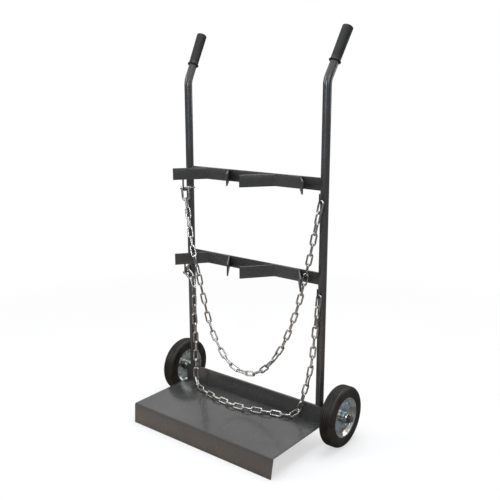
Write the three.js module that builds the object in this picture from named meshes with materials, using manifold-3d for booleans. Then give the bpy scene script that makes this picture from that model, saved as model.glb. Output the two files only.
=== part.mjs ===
// Two-cylinder gas trolley for an oxygen and an acetylene bottle, with two safety chains.
// Millimetres, +Z up. The deck reaches forward along -Y, and +X is on the right of someone
// who stands in front of it. The lip and the tyres stand on the floor, z = 0.
import * as THREE from 'three';
import { mergeVertices } from 'three/addons/utils/BufferGeometryUtils.js';
import Module from 'manifold-3d';

const wasm = await Module();
wasm.setup();

const degrees = Math.PI / 180;

// Clearances
const seatGap = 0.3;
const runningGap = 0.3;
const axialPlay = 0.5;

// Uprights: one bent tube on each side, leaning back and slightly out at the handles
const uprightSpacing = 562;
const tubeRadius = 13.45;
const tubeWall = 2.3;
const bendStart = 1154;
const bendRadius = 54;
const bendAngle = 29.65 * degrees;
const splay = 8 * degrees;
const tubeSides = 16;

// Grips, pushed over the tube ends
const bareHandle = 48;
const gripLength = 119.5;
const gripRadius = 16;
const gripCap = 3;
const gripCollarRadius = 19;
const gripCollarWidth = 6;
const gripEndRadius = 7;
const gripSwell = 0.8;
const gripSides = 16;

// Deck: one folded sheet with an upstand behind and a lip in front
const deckWidth = 602;
const deckHeight = 69;
const sheet = 3;
const upstandTop = 132;
const deckFront = 284.7;
const foldRadius = 3;
const lipFlare = 5.8 * degrees;
const lipTaper = 3.7;

// Flat bar of the crossbars and saddles
const barHeight = 40;
const barThickness = 5;
const upperBarBottom = 839;
const lowerBarBottom = 539;

// Saddles: two per crossbar, each a bar bent twice to cradle a cylinder
const saddleSpacing = 292;
const saddleBack = 96;
const saddleArm = 120;
const saddleAngle = 53 * degrees;
const saddleBendRadius = 8;

// Hooks: bent rod welded to the fronts of the uprights
const rodRadius = 3;
const hookReach = 33;
const hookBendRadius = 7;
const hookOutboard = 3.5;
const hookTipBelowBar = 4.5;
const leftHookDrop = 45;
const rightHookDrop = 34;

// Axle and wheels
const axleRadius = 10;
const wheelOutboard = 67;
const tyreRadius = 101.5;
const tyreWidth = 46;
const shoulderRadius = 11.5;
const rimEdgeRadius = 67;
const rimEdgeDepth = 21.5;
const webDepth = 9;
const webRadius = 52;
const discThickness = 2;
const hubRadius = 17.5;
const hubWall = 2.5;
const hubLength = 60;
const bushLength = 22;
const rivetCount = 3;
const rivetCircleRadius = 44;
const rivetRadius = 3;
const rivetHeadRadius = 5.5;
const rivetHeadHeight = 2;
const washerRadius = 17;
const washerThickness = 3;
const axleEndBeyondWasher = 9;
const splitPinWire = 1.6;
const splitPinEyeRadius = 3.4;
const splitPinLegSpread = 40 * degrees;
const splitPinTail = 7;

// Shackles
const bowWireRadius = 4;
const bowInsideWidth = 16;
const bowInsideLength = 36;
const eyeRadius = 7;
const eyeThickness = 8.6;
const pinRadius = 4;
const pinTail = 18.5;
const pinHead = 37;
const pinCollarRadius = 6;
const pinTabRadius = 6.5;
const pinTabThickness = 5;
const pinTabHole = 2.6;

// Chains: welded links that touch crown to crown
const linkWireRadius = 2.5;
const linkWidth = 20;
const linkSpacing = 34.4;
const linkContact = 0.5;
const linkSides = 4;
const linkArcSteps = 4;

// Worked-out places
const tubeX = uprightSpacing / 2;
const wheelX = tubeX + wheelOutboard;
const tubeFoot = deckHeight - sheet;
const deckBack = tubeRadius + seatGap;
const axleY = tubeRadius + seatGap + axleRadius;
const hookX = tubeX + hookOutboard;
const bowCentreRadius = bowInsideWidth / 2 + bowWireRadius;
const bowLength = pinRadius + bowInsideLength + bowWireRadius;
const linkBendRadius = linkWidth / 2 - linkWireRadius;
const crownPastJoint = linkWireRadius - linkContact / 2;

// Solids and joining

function solid(geometry) {
  const bare = new THREE.BufferGeometry();
  bare.setAttribute('position', geometry.getAttribute('position'));
  bare.setIndex(geometry.index);
  const merged = mergeVertices(bare, 1e-4);
  const vertProperties = new Float32Array(merged.getAttribute('position').array);
  const triVerts = new Uint32Array(merged.index.array);
  return new wasm.Manifold(new wasm.Mesh({ numProp: 3, vertProperties, triVerts }));
}

function geometryOf(body) {
  const mesh = body.getMesh();
  const geometry = new THREE.BufferGeometry();
  geometry.setAttribute('position', new THREE.BufferAttribute(mesh.vertProperties, 3));
  geometry.setIndex(new THREE.BufferAttribute(mesh.triVerts, 1));
  geometry.computeVertexNormals();
  return geometry;
}

function joined(geometries) {
  return geometries.map(solid).reduce((body, next) => body.add(next));
}

// A bore whose flats clear a shaft of the given radius
function boreRadius(shaftRadius, sides) {
  return shaftRadius / Math.cos(Math.PI / sides);
}

function cylinderAlongX(radius, length, sides) {
  return new THREE.CylinderGeometry(radius, radius, length, sides).rotateZ(-Math.PI / 2);
}

// Bars bent in a plane: straights and arcs one after another give stations along the bar,
// each with its point and its heading.

function bentLine(start, startHeading, moves) {
  const stations = [{ point: start, heading: startHeading }];
  for (const move of moves) {
    const { point, heading } = stations.at(-1);
    if (move.straight !== undefined) {
      const along = new THREE.Vector2(Math.cos(heading), Math.sin(heading));
      stations.push({ point: point.clone().addScaledVector(along, move.straight), heading });
      continue;
    }
    const side = Math.sign(move.turn);
    const inward = new THREE.Vector2(-Math.sin(heading), Math.cos(heading)).multiplyScalar(side);
    const centre = point.clone().addScaledVector(inward, move.radius);
    for (let step = 1; step <= move.steps; step += 1) {
      const turned = move.turn * step / move.steps;
      const spoke = point.clone().sub(centre).rotateAround(new THREE.Vector2(), turned);
      stations.push({ point: centre.clone().add(spoke), heading: heading + turned });
    }
  }
  return stations;
}

// Round bar or tube along stations, with its bend plane as XY
function roundBar(stations, radius, sides, { closed = false, bore = 0 } = {}) {
  const positions = [];
  const triangles = [];
  const ringStart = (ring, layer) => (layer * stations.length + ring % stations.length) * sides;
  const quad = (a, b, c, d) => triangles.push(a, b, d, b, c, d);
  const layers = bore > 0 ? [radius, bore] : [radius];
  for (const layerRadius of layers) {
    for (const { point, heading } of stations) {
      for (let side = 0; side < sides; side += 1) {
        const angle = 2 * Math.PI * side / sides;
        const across = layerRadius * Math.cos(angle);
        positions.push(
          point.x - Math.sin(heading) * across,
          point.y + Math.cos(heading) * across,
          layerRadius * Math.sin(angle),
        );
      }
    }
  }
  const spans = closed ? stations.length : stations.length - 1;
  for (let layer = 0; layer < layers.length; layer += 1) {
    for (let ring = 0; ring < spans; ring += 1) {
      const near = ringStart(ring, layer);
      const far = ringStart(ring + 1, layer);
      for (let side = 0; side < sides; side += 1) {
        const next = (side + 1) % sides;
        if (layer === 0) quad(near + side, near + next, far + next, far + side);
        else quad(far + side, far + next, near + next, near + side);
      }
    }
  }
  if (!closed) {
    const last = stations.length - 1;
    for (let side = 0; side < sides; side += 1) {
      const next = (side + 1) % sides;
      if (bore > 0) {
        const [outerNear, innerNear] = [ringStart(0, 0), ringStart(0, 1)];
        const [outerFar, innerFar] = [ringStart(last, 0), ringStart(last, 1)];
        quad(outerNear + next, outerNear + side, innerNear + side, innerNear + next);
        quad(outerFar + side, outerFar + next, innerFar + next, innerFar + side);
      } else if (side > 0 && side < sides - 1) {
        const [near, far] = [ringStart(0, 0), ringStart(last, 0)];
        triangles.push(near, near + next, near + side);
        triangles.push(far, far + side, far + next);
      }
    }
  }
  const geometry = new THREE.BufferGeometry();
  geometry.setAttribute('position', new THREE.Float32BufferAttribute(positions, 3));
  geometry.setIndex(triangles);
  geometry.computeVertexNormals();
  return geometry;
}

// Flat bar or sheet along stations, standing up from XY by its width
function flatBar(stations, thickness, width) {
  const face = (side) => stations.map(({ point, heading }) => new THREE.Vector2(
    point.x - Math.sin(heading) * side * thickness / 2,
    point.y + Math.cos(heading) * side * thickness / 2,
  ));
  const outline = new THREE.Shape([...face(1), ...face(-1).reverse()]);
  return new THREE.ExtrudeGeometry(outline, { depth: width, bevelEnabled: false });
}

// Solid of revolution about the X axis from [x, radius] points. A profile that doesn't
// start on the axis is closed on itself.
function revolvedAboutX(profile, sides) {
  const points = profile.map(([x, radius]) => new THREE.Vector2(radius, x));
  if (THREE.ShapeUtils.area(points) < 0) points.reverse();
  if (points[0].x > 0) points.push(points[0].clone());
  return new THREE.LatheGeometry(points, sides).rotateZ(-Math.PI / 2);
}

// Finishes

function finish(color, roughness, metalness) {
  return () => new THREE.MeshStandardMaterial({ color, roughness, metalness });
}

const greyPaint = finish('#4b4c4e', 0.45, 0.2);
const brightZinc = finish('#b4b8ba', 0.32, 0.9);
const chainZinc = finish('#a9aaa6', 0.4, 0.9);
const blackRubber = finish('#262525', 0.75, 0);
const blackVinyl = finish('#1b1b1d', 0.6, 0);
const blackNylon = finish('#222224', 0.55, 0);

const trolley = new THREE.Group();

function piece(name, geometry, material, parent = trolley) {
  const mesh = new THREE.Mesh(geometry, material());
  mesh.name = name;
  parent.add(mesh);
  return mesh;
}

// Turns a piece so that its own X and Y axes point along the given directions
function orient(object, xAxis, yAxis) {
  const zAxis = new THREE.Vector3().crossVectors(xAxis, yAxis);
  object.quaternion.setFromRotationMatrix(new THREE.Matrix4().makeBasis(xAxis, yAxis, zAxis));
}

const up = new THREE.Vector3(0, 0, 1);
const right = new THREE.Vector3(1, 0, 0);
const forward = new THREE.Vector3(0, -1, 0);
const back = new THREE.Vector3(0, 1, 0);

// Uprights and grips

function gripGeometry() {
  const innerRadius = boreRadius(tubeRadius + seatGap, gripSides);
  const innerTop = gripLength - gripCap;
  const bodyStart = gripCollarWidth + 2;
  const profile = [[0, innerTop], [innerRadius, innerTop], [innerRadius, 0]];
  profile.push([gripCollarRadius - 1, 0], [gripCollarRadius, 1]);
  profile.push([gripCollarRadius, gripCollarWidth], [gripRadius, bodyStart]);
  profile.push([gripRadius + gripSwell, gripLength * 0.55]);
  const endSteps = 3;
  for (let step = 0; step <= endSteps; step += 1) {
    const angle = Math.PI / 2 * step / endSteps;
    const radius = gripRadius - gripEndRadius * (1 - Math.cos(angle));
    profile.push([radius, gripLength - gripEndRadius * (1 - Math.sin(angle))]);
  }
  profile.push([0, gripLength]);
  return new THREE.LatheGeometry(profile.map(([r, h]) => new THREE.Vector2(r, h)), gripSides);
}

function addUpright(sideName, side) {
  const lean = new THREE.Vector3(side * Math.sin(splay), Math.cos(splay), 0);
  const tubeInGrip = gripLength - gripCap - seatGap;
  const stations = bentLine(new THREE.Vector2(0, tubeFoot), Math.PI / 2, [
    { straight: bendStart - tubeFoot },
    { turn: -bendAngle, radius: bendRadius, steps: 4 },
    { straight: bareHandle + tubeInGrip },
  ]);
  const tube = roundBar(stations, tubeRadius, tubeSides, { bore: tubeRadius - tubeWall });
  const upright = piece(`${sideName}_upright`, tube, greyPaint);
  upright.position.set(side * tubeX, 0, 0);
  orient(upright, lean, up);

  const top = stations.at(-1);
  const grip = piece(`${sideName}_grip`, gripGeometry(), blackVinyl);
  const alongHandle = up.clone().multiplyScalar(Math.sin(top.heading))
    .addScaledVector(lean, Math.cos(top.heading));
  const acrossHandle = new THREE.Vector3().crossVectors(lean, up);
  grip.position.set(side * tubeX, 0, top.point.y)
    .addScaledVector(lean, top.point.x)
    .addScaledVector(alongHandle, -tubeInGrip);
  orient(grip, acrossHandle, alongHandle);
}

addUpright('left', -1);
addUpright('right', 1);

// Deck

function deckGeometry() {
  const centreRadius = foldRadius + sheet / 2;
  const deckMiddle = deckHeight - sheet / 2;
  const upstandMiddle = -(deckBack + sheet / 2);
  const lipFoldCentre = -(deckFront - foldRadius - sheet);
  const moves = [
    { straight: upstandTop - deckMiddle - centreRadius },
    { turn: -Math.PI / 2, radius: centreRadius, steps: 3 },
    { straight: upstandMiddle - centreRadius - lipFoldCentre },
    { turn: Math.PI / 2 - lipFlare, radius: centreRadius, steps: 3 },
  ];
  const start = new THREE.Vector2(upstandMiddle, upstandTop);
  const lipStart = bentLine(start, -Math.PI / 2, moves).at(-1).point.y;
  moves.push({ straight: (lipStart - Math.sin(lipFlare) * sheet / 2) / Math.cos(lipFlare) });
  const geometry = flatBar(bentLine(start, -Math.PI / 2, moves), sheet, deckWidth);
  geometry.translate(0, 0, -deckWidth / 2);
  const places = geometry.getAttribute('position');
  for (let index = 0; index < places.count; index += 1) {
    const below = Math.max(0, 1 - places.getY(index) / lipStart);
    const narrowed = 1 - below * lipTaper / (deckWidth / 2);
    places.setZ(index, places.getZ(index) * narrowed);
  }
  return geometry;
}

orient(piece('base_plate', deckGeometry(), greyPaint), back, up);

// Crossbars and saddles

function crossbarGeometry() {
  const length = uprightSpacing - 2 * (tubeRadius + seatGap);
  const start = new THREE.Vector2(-length / 2, 0);
  return flatBar(bentLine(start, 0, [{ straight: length }]), barThickness, barHeight);
}

function saddleGeometry() {
  const cut = saddleBendRadius * Math.tan(saddleAngle / 2);
  const tip = new THREE.Vector2(
    -saddleBack / 2 - saddleArm * Math.cos(saddleAngle),
    -saddleArm * Math.sin(saddleAngle),
  );
  const bend = { turn: -saddleAngle, radius: saddleBendRadius, steps: 3 };
  const stations = bentLine(tip, saddleAngle, [
    { straight: saddleArm - cut }, bend, { straight: saddleBack - 2 * cut }, bend,
    { straight: saddleArm - cut },
  ]);
  return flatBar(stations, barThickness, barHeight);
}

const crossbars = [
  { level: 'upper', bottom: upperBarBottom },
  { level: 'lower', bottom: lowerBarBottom },
];
const sides = [
  { sideName: 'left', side: -1, hookDrop: leftHookDrop },
  { sideName: 'right', side: 1, hookDrop: rightHookDrop },
];

for (const { level, bottom } of crossbars) {
  piece(`${level}_crossbar`, crossbarGeometry(), greyPaint).position.z = bottom;
  for (const { sideName, side } of sides) {
    const saddle = piece(`${level}_${sideName}_saddle`, saddleGeometry(), greyPaint);
    saddle.position.set(side * saddleSpacing / 2, -(barThickness + seatGap), bottom);
  }
}

// Hooks

function hookGeometry(drop) {
  const start = new THREE.Vector2(tubeRadius + seatGap, -drop);
  const stations = bentLine(start, 0, [
    { straight: hookReach - hookBendRadius - start.x },
    { turn: Math.PI / 2, radius: hookBendRadius, steps: 4 },
    { straight: drop - hookBendRadius - hookTipBelowBar },
  ]);
  return roundBar(stations, rodRadius, 8);
}

for (const { level, bottom } of crossbars) {
  for (const { sideName, side, hookDrop } of sides) {
    const hook = piece(`${level}_${sideName}_hook`, hookGeometry(hookDrop), greyPaint);
    hook.position.set(side * hookX, 0, bottom);
    orient(hook, forward, up);
  }
}

// Axle, with a hole for a split pin at each end

const washerOuterFace = wheelX + hubLength / 2 + axialPlay + washerThickness;
const axleHalfLength = washerOuterFace + axleEndBeyondWasher;
const splitPinX = washerOuterFace + splitPinWire + seatGap + 0.7;
const wheelSides = 16;
const discSides = 18;
const bushSides = 12;
const tyreSides = 28;

function axleGeometry() {
  let axle = solid(cylinderAlongX(axleRadius, 2 * axleHalfLength, wheelSides));
  for (const { side } of sides) {
    const hole = new THREE.CylinderGeometry(2 * splitPinWire, 2 * splitPinWire, 4 * axleRadius, 8);
    axle = axle.subtract(solid(hole.rotateX(Math.PI / 2).translate(side * splitPinX, 0, 0)));
  }
  return geometryOf(axle);
}

piece('axle', axleGeometry(), greyPaint).position.set(0, axleY, tyreRadius);

// Split pin: an eye above the axle, two half shanks through it and two bent legs below
function splitPinGeometry() {
  const eyeHeight = axleRadius + splitPinEyeRadius;
  const eyeTop = new THREE.Vector2(0, eyeHeight + splitPinEyeRadius);
  const eye = bentLine(eyeTop, 0, [{ turn: -2 * Math.PI, radius: splitPinEyeRadius, steps: 8 }]);
  const leg = (side) => bentLine(
    new THREE.Vector2(side * splitPinWire / 2, eyeHeight - splitPinEyeRadius),
    -Math.PI / 2,
    [
      { straight: eyeHeight - splitPinEyeRadius + axleRadius + 1 },
      { turn: side * splitPinLegSpread, radius: 4, steps: 1 },
      { straight: splitPinTail },
    ],
  );
  return geometryOf(joined([
    roundBar(eye.slice(0, -1), splitPinWire, 4, { closed: true }),
    roundBar(leg(-1), splitPinWire, 4),
    roundBar(leg(1), splitPinWire, 4),
  ]));
}

// Wheels: solid tyre on two pressed discs, riveted together round a hub tube with two bushes

function tyreGeometry() {
  const halfWidth = tyreWidth / 2;
  const root = discThickness + 2 * seatGap;
  const shoulderSteps = 3;
  const outer = [[rimEdgeDepth - root, rimEdgeRadius + seatGap], [halfWidth, rimEdgeRadius + 3]];
  for (let step = 0; step <= shoulderSteps; step += 1) {
    const angle = Math.PI / 2 * step / shoulderSteps;
    outer.push([
      halfWidth - shoulderRadius * (1 - Math.cos(angle)),
      tyreRadius - shoulderRadius * (1 - Math.sin(angle)),
    ]);
  }
  const half = [[webDepth - root, webRadius + seatGap], ...outer];
  const mirrored = half.map(([x, radius]) => [-x, radius]).reverse();
  return revolvedAboutX([...half, ...mirrored], tyreSides);
}

// Pressed disc, hub collar to rolled rim edge. It faces along +X.
function discGeometry() {
  const t = discThickness;
  const collar = boreRadius(hubRadius + seatGap, discSides);
  const front = [
    [webDepth, collar], [webDepth, webRadius - 2], [rimEdgeDepth - t, rimEdgeRadius - 5],
    [rimEdgeDepth, rimEdgeRadius - 3], [rimEdgeDepth, rimEdgeRadius],
  ];
  const rear = [
    [rimEdgeDepth - t, rimEdgeRadius], [rimEdgeDepth - 2 * t, rimEdgeRadius - 4],
    [webDepth - t, webRadius - 1], [webDepth - t, collar],
  ];
  let disc = solid(revolvedAboutX([...front, ...rear], discSides));
  for (let index = 0; index < rivetCount; index += 1) {
    const hole = cylinderAlongX(boreRadius(rivetRadius + seatGap, 8), 4 * webDepth, 8);
    hole.translate(0, rivetCircleRadius, 0).rotateX(2 * Math.PI * index / rivetCount);
    disc = disc.subtract(solid(hole));
  }
  return geometryOf(disc);
}

function hubGeometry() {
  const half = hubLength / 2;
  const inner = boreRadius(hubRadius - hubWall, wheelSides);
  const profile = [[-half, inner], [half, inner], [half, hubRadius], [-half, hubRadius]];
  return revolvedAboutX(profile, wheelSides);
}

function bushGeometry() {
  const inner = boreRadius(axleRadius + runningGap, bushSides);
  const outer = hubRadius - hubWall - seatGap;
  const profile = [[0, inner], [bushLength, inner], [bushLength, outer], [0, outer]];
  return revolvedAboutX(profile, bushSides);
}

// Rivet with a shoulder that keeps the two discs apart
function rivetGeometry() {
  const shoulder = webDepth - discThickness - seatGap;
  const seat = webDepth + seatGap;
  const half = [
    [shoulder, rivetHeadRadius], [shoulder, rivetRadius], [seat, rivetRadius],
    [seat, rivetHeadRadius], [seat + rivetHeadHeight, 0],
  ];
  const mirrored = half.map(([x, radius]) => [-x, radius]).reverse();
  return revolvedAboutX([...mirrored, ...half], 6);
}

function washerGeometry() {
  const inner = boreRadius(axleRadius + seatGap, wheelSides);
  const half = washerThickness / 2;
  const profile = [[-half, inner], [half, inner], [half, washerRadius], [-half, washerRadius]];
  return revolvedAboutX(profile, wheelSides);
}

function addWheel(sideName, side, firstRivet) {
  const wheel = new THREE.Group();
  wheel.position.set(side * wheelX, axleY, tyreRadius);
  wheel.rotation.x = firstRivet;
  trolley.add(wheel);
  piece(`${sideName}_tyre`, tyreGeometry(), blackRubber, wheel);
  piece(`${sideName}_hub_tube`, hubGeometry(), brightZinc, wheel);
  for (const [faceName, facing] of [['outer', side], ['inner', -side]]) {
    const disc = piece(`${sideName}_${faceName}_disc`, discGeometry(), brightZinc, wheel);
    disc.rotation.y = facing > 0 ? 0 : Math.PI;
    const bush = piece(`${sideName}_${faceName}_bush`, bushGeometry(), blackNylon, wheel);
    bush.position.x = facing > 0 ? hubLength / 2 - bushLength : -hubLength / 2;
  }
  for (let index = 0; index < rivetCount; index += 1) {
    const holder = new THREE.Group();
    holder.rotation.x = 2 * Math.PI * index / rivetCount;
    wheel.add(holder);
    const rivet = piece(`${sideName}_rivet_${index + 1}`, rivetGeometry(), brightZinc, holder);
    rivet.position.y = rivetCircleRadius;
  }
  const washerOffset = hubLength / 2 + axialPlay + washerThickness / 2;
  for (const [faceName, facing] of [['outer', side], ['inner', -side]]) {
    const washer = piece(`${sideName}_${faceName}_washer`, washerGeometry(), greyPaint);
    washer.position.set(side * wheelX + facing * washerOffset, axleY, tyreRadius);
  }
  const pin = piece(`${sideName}_split_pin`, splitPinGeometry(), brightZinc);
  pin.position.set(side * splitPinX, axleY, tyreRadius);
  orient(pin, back, up);
}

// How far each wheel has rolled round, as its rivets show
const leftWheelTurn = 90 * degrees;
const rightWheelTurn = 56.25 * degrees;
addWheel('left', -1, leftWheelTurn);
addWheel('right', 1, rightWheelTurn);

// Shackles. The pin lies along the shackle's own X axis, and the bow hangs down its -Y.

function bowGeometry() {
  const leg = bowLength - bowCentreRadius;
  const stations = bentLine(new THREE.Vector2(-bowCentreRadius, 0), -Math.PI / 2, [
    { straight: leg },
    { turn: Math.PI, radius: bowCentreRadius, steps: 6 },
    { straight: leg },
  ]);
  const eye = (side) => cylinderAlongX(eyeRadius, eyeThickness, 10)
    .translate(side * bowCentreRadius, 0, 0);
  const bow = joined([roundBar(stations, bowWireRadius, 8), eye(-1), eye(1)]);
  const pinHole = cylinderAlongX(boreRadius(pinRadius + seatGap, 12), 4 * bowInsideWidth, 12);
  return geometryOf(bow.subtract(solid(pinHole)));
}

function pinGeometry() {
  const collarStart = bowCentreRadius + eyeThickness / 2 + seatGap;
  const collarEnd = collarStart + 3;
  const tabCentre = pinHead - pinTabRadius;
  const shank = revolvedAboutX([
    [-pinTail, 0], [-pinTail, pinRadius - 1], [1 - pinTail, pinRadius],
    [collarStart, pinRadius], [collarStart, pinCollarRadius], [collarEnd, pinCollarRadius],
    [collarEnd, pinRadius - 1], [tabCentre, pinRadius - 1], [tabCentre, 0],
  ], 12);
  const tab = new THREE.CylinderGeometry(pinTabRadius, pinTabRadius, pinTabThickness, 12);
  const hole = new THREE.CylinderGeometry(pinTabHole, pinTabHole, 3 * pinTabThickness, 8);
  const body = joined([shank, tab.translate(tabCentre, 0, 0)]);
  return geometryOf(body.subtract(solid(hole.translate(tabCentre, 0, 0))));
}

// Adds a shackle whose pin lies over a hook's leg and whose bow hangs along a direction.
// Returns the point inside the bow where a chain's first crown rests.
function addShackle(level, legHeight, legPlace, pinDirection, hang, slide) {
  const hangDirection = hang.clone().normalize();
  const pinAxis = pinDirection.clone().projectOnPlane(hangDirection).normalize();
  const shackle = new THREE.Group();
  shackle.position.set(-hookX, -legPlace, legHeight)
    .addScaledVector(hangDirection, -(pinRadius + rodRadius + seatGap))
    .addScaledVector(pinAxis, slide);
  orient(shackle, pinAxis, hangDirection.clone().negate());
  trolley.add(shackle);
  piece(`${level}_shackle_bow`, bowGeometry(), brightZinc, shackle);
  piece(`${level}_shackle_pin`, pinGeometry(), brightZinc, shackle);
  const crownDepth = bowLength - bowWireRadius - linkWireRadius - 2 * seatGap;
  return shackle.position.clone().addScaledVector(hangDirection, crownDepth);
}

const upperChainStart = addShackle(
  'upper',
  upperBarBottom - leftHookDrop,
  hookReach - hookBendRadius - 0.5,
  new THREE.Vector3(Math.cos(23 * degrees), Math.sin(23 * degrees), 0),
  new THREE.Vector3(0.11, -0.02, -1),
  2.4,
);
const lowerChainStart = addShackle(
  'lower',
  lowerBarBottom - leftHookDrop,
  tubeRadius + eyeRadius + 4 * seatGap,
  new THREE.Vector3(0.59, 0, 0.8),
  new THREE.Vector3(0.8, -0.08, -0.59),
  1,
);

// Chains

// The crown of the last link rests on a right hook's leg
function chainEnd(barBottom) {
  const crownHeight = barBottom - rightHookDrop + rodRadius + 2 * seatGap + linkWireRadius;
  return new THREE.Vector3(hookX, -(hookReach - hookBendRadius - 2.5), crownHeight);
}

function routeCurve(route, slackDirection, slack) {
  const points = route.map((point, index) => {
    const share = Math.sin(Math.PI * index / (route.length - 1)) ** 2;
    return point.clone().addScaledVector(slackDirection, slack * share);
  });
  return new THREE.CatmullRomCurve3(points, false, 'centripetal');
}

// Points one link apart along a curve, measured straight from each to the next
function pacedPoints(curve) {
  const samples = curve.getPoints(3000);
  const paced = [samples[0]];
  for (let index = 1; index < samples.length; index += 1) {
    const last = paced.at(-1);
    const reach = samples[index].distanceTo(last);
    if (reach >= linkSpacing) {
      const before = samples[index - 1].distanceTo(last);
      const share = (linkSpacing - before) / (reach - before);
      paced.push(samples[index - 1].clone().lerp(samples[index], share));
    }
  }
  return paced;
}

// The places where neighbouring links touch. The middle of the route gives way until a
// whole number of links reaches its end.
function linkJoints(route, slackDirection) {
  const links = Math.round(routeCurve(route, slackDirection, 0).getLength() / linkSpacing);
  let tight = -60;
  let loose = 60;
  for (let step = 0; step < 30; step += 1) {
    const slack = (tight + loose) / 2;
    if (pacedPoints(routeCurve(route, slackDirection, slack)).length > links) loose = slack;
    else tight = slack;
  }
  return pacedPoints(routeCurve(route, slackDirection, loose));
}

function linkGeometry() {
  const straight = linkSpacing + 2 * crownPastJoint - 2 * linkBendRadius;
  const turn = { turn: Math.PI, radius: linkBendRadius, steps: linkArcSteps };
  const stations = bentLine(new THREE.Vector2(-straight / 2, -linkBendRadius), 0, [
    { straight }, turn, { straight }, turn,
  ]);
  return roundBar(stations.slice(0, -1), linkWireRadius, linkSides, { closed: true });
}

// How far each link's flat side is turned about the chain beyond the quarter turn from its
// neighbour, from a list of [share of the chain, degrees]. The last link faces forward,
// round the hook's leg.
function linkTwists(twists, count) {
  const lastTwist = twists.at(-1)[1];
  const lastRoll = (count - 1) * 90;
  const halfTurns = Math.round((lastTwist + lastRoll) / 180);
  const stops = [...twists, [1, halfTurns * 180 - lastRoll]];
  return Array.from({ length: count }, (_, index) => {
    const share = index / (count - 1);
    const next = Math.max(1, stops.findIndex(([place]) => place >= share));
    const [fromShare, fromAngle] = stops[next - 1];
    const [toShare, toAngle] = stops[next];
    return THREE.MathUtils.mapLinear(share, fromShare, toShare, fromAngle, toAngle) * degrees;
  });
}

function chainGeometry(route, slackDirection, twists) {
  const joints = linkJoints(route, slackDirection);
  const count = joints.length - 1;
  const link = linkGeometry();
  const turned = linkTwists(twists, count);
  const links = [];
  for (let index = 0; index < count; index += 1) {
    const along = joints[index + 1].clone().sub(joints[index]).normalize();
    const roll = index * Math.PI / 2 + turned[index];
    const flat = forward.clone().projectOnPlane(along).normalize().applyAxisAngle(along, roll);
    const across = new THREE.Vector3().crossVectors(flat, along);
    const middle = joints[index].clone().lerp(joints[index + 1], 0.5);
    const place = new THREE.Matrix4().makeBasis(along, across, flat).setPosition(middle);
    links.push(link.clone().applyMatrix4(place));
  }
  return geometryOf(joined(links));
}

const toVectors = (points) => points.map(([x, y, z]) => new THREE.Vector3(x, y, z));

const upperRoute = [
  upperChainStart.clone().add(new THREE.Vector3(0.2, 0, -crownPastJoint)),
  ...toVectors([
    [-267, -29, 714], [-234, -49, 612], [-217, -57, 574], [-205, -54, 530], [-184, -49, 430],
    [-141, -47, 298], [-68, -44, 202], [0, -42, 182], [60, -39, 200], [140, -36, 291],
    [204, -33, 442], [247, -31, 610], [274, -29, 745],
  ]),
  chainEnd(upperBarBottom).add(new THREE.Vector3(0, 0, -crownPastJoint)),
];

// Down beside the left upright, forward over the deck and up to the right hook
const onDeck = deckHeight + linkWidth / 2 + 2 * seatGap;
const lowerRoute = [
  lowerChainStart.clone().add(new THREE.Vector3(1.8, -0.3, -1.2)),
  ...toVectors([
    [-247, -29, 452], [-243, -33, 360], [-233, -37, 245], [-230, -42, onDeck + 44],
    [-218, -50, onDeck + 3], [-186, -64, onDeck], [-121, -83, onDeck], [-62, -90, onDeck],
    [9, -94, onDeck], [78, -78, onDeck], [139, -57, onDeck], [190, -42, onDeck],
    [220, -34, onDeck + 21], [238, -29, 166], [262, -28, 264], [276, -28, 400],
  ]),
  chainEnd(lowerBarBottom).add(new THREE.Vector3(0, 0, -crownPastJoint)),
];

const upperTwists = [
  [0, 67], [0.125, 52], [0.2, -38], [0.4, -38], [0.5, 5], [0.55, 5], [0.625, -52], [0.925, -52],
];
const lowerTwists = [
  [0, 90], [0.3, 150], [0.7, 150], [0.74, 128], [0.79, 155], [0.83, 128], [0.92, 128],
];

piece('upper_chain', chainGeometry(upperRoute, up.clone().negate(), upperTwists), chainZinc);
piece('lower_chain', chainGeometry(lowerRoute, forward, lowerTwists), chainZinc);

// The origin is on the floor, under the middle of the whole trolley
trolley.updateMatrixWorld(true);
const extent = new THREE.Box3().setFromObject(trolley, true);
trolley.position.y = -(extent.min.y + extent.max.y) / 2;

export default trolley;
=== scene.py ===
import math

import bpy
from mathutils import Matrix, Quaternion, Vector


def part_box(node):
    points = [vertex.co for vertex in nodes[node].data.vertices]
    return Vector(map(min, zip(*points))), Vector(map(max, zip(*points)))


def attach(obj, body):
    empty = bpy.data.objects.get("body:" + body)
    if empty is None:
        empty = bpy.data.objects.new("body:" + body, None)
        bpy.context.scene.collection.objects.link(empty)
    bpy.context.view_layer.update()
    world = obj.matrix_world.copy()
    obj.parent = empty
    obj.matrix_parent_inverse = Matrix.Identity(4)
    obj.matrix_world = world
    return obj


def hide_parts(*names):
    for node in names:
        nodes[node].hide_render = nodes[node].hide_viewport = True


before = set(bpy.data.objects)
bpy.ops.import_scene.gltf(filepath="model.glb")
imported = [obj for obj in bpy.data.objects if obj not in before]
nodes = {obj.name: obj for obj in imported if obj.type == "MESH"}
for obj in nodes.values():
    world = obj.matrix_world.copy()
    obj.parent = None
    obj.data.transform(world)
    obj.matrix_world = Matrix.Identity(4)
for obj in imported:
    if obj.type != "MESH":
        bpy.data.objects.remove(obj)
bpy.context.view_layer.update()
scene = bpy.context.scene

mm = 0.001
X, Y, Z = Vector((1, 0, 0)), Vector((0, 1, 0)), Vector((0, 0, 1))


# Places taken from the frame

def middle(node):
    low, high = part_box(node)
    return (Vector(low) + Vector(high)) / 2


tube_y = middle("upper_crossbar").y
axle_place = middle("axle")
sheet_end_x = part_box("base_plate")[1][0]
bar_bottoms = {
    "upper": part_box("upper_crossbar")[0][2],
    "lower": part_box("lower_crossbar")[0][2],
}
sides = {"left": -1, "right": 1}


# Sizes, in metres

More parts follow.
